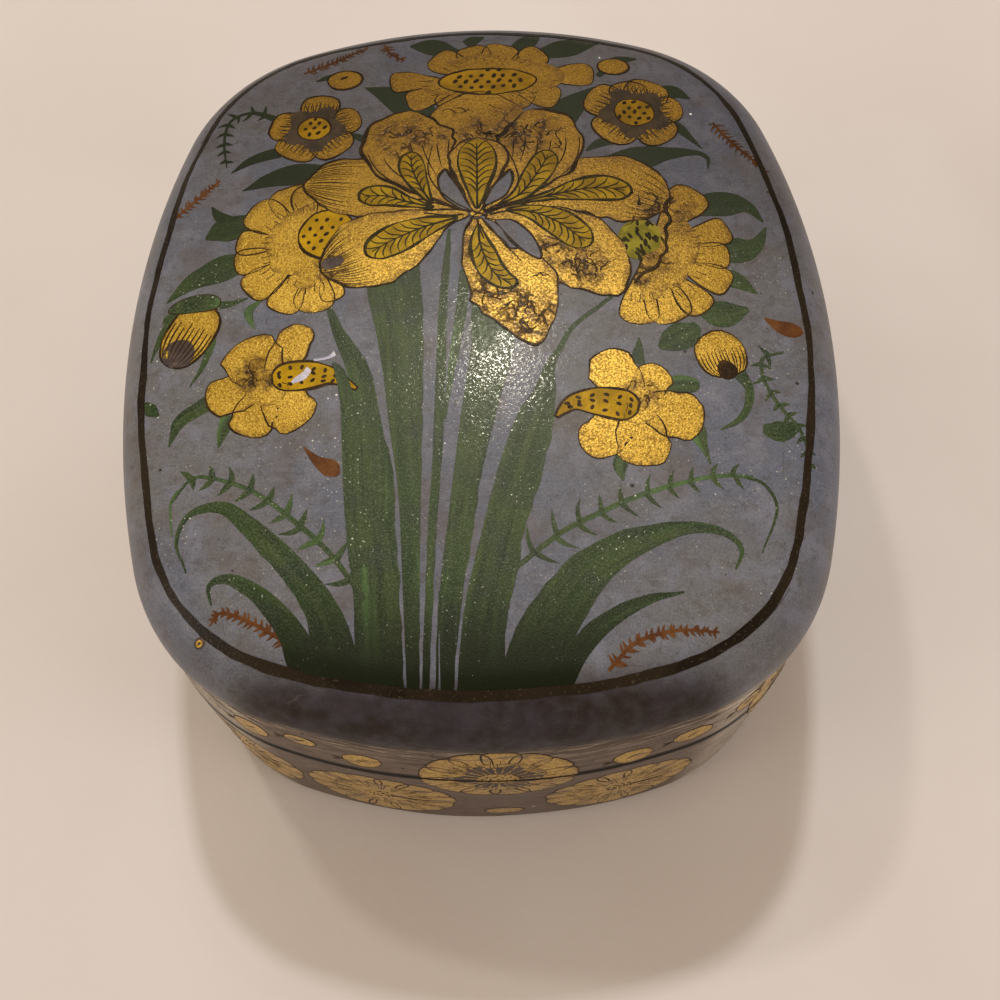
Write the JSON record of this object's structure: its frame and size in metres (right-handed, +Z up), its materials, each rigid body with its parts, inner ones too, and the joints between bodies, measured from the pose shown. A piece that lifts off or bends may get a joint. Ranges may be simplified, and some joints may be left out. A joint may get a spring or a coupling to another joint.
{
  "type": "lidded papier-mache box",
  "caption": "Rounded-rectangle papier-mache trinket box with a domed lift-off lid that slips over an inner collar, painted with gold flowers and sword leaves on a slate-lavender ground.",
  "frame": {"origin": "middle of the underside, on the table", "axes": "+Z up, +Y along the longer side towards the top of the painted flowers, +X to the right as the flowers are seen"},
  "size_m": [0.12, 0.141, 0.0676],
  "materials": {
    "painted_paper": "pressed paper pulp, gesso and slate-lavender paint under aged varnish",
    "dark_paper": "pressed paper strip with thin black lacquer"
  },
  "bodies": {
    "base": {"base_floor": "painted_paper", "base_wall": "painted_paper", "base_collar": "dark_paper"},
    "lid": {"lid_wall": "painted_paper", "lid_crown": "painted_paper"}
  },
  "joints": [
    {"name": "lid_lift", "type": "slide", "parent": "base", "child": "lid", "axis": [0, 0, 1], "range_m": [0, 0.06]}
  ]
}
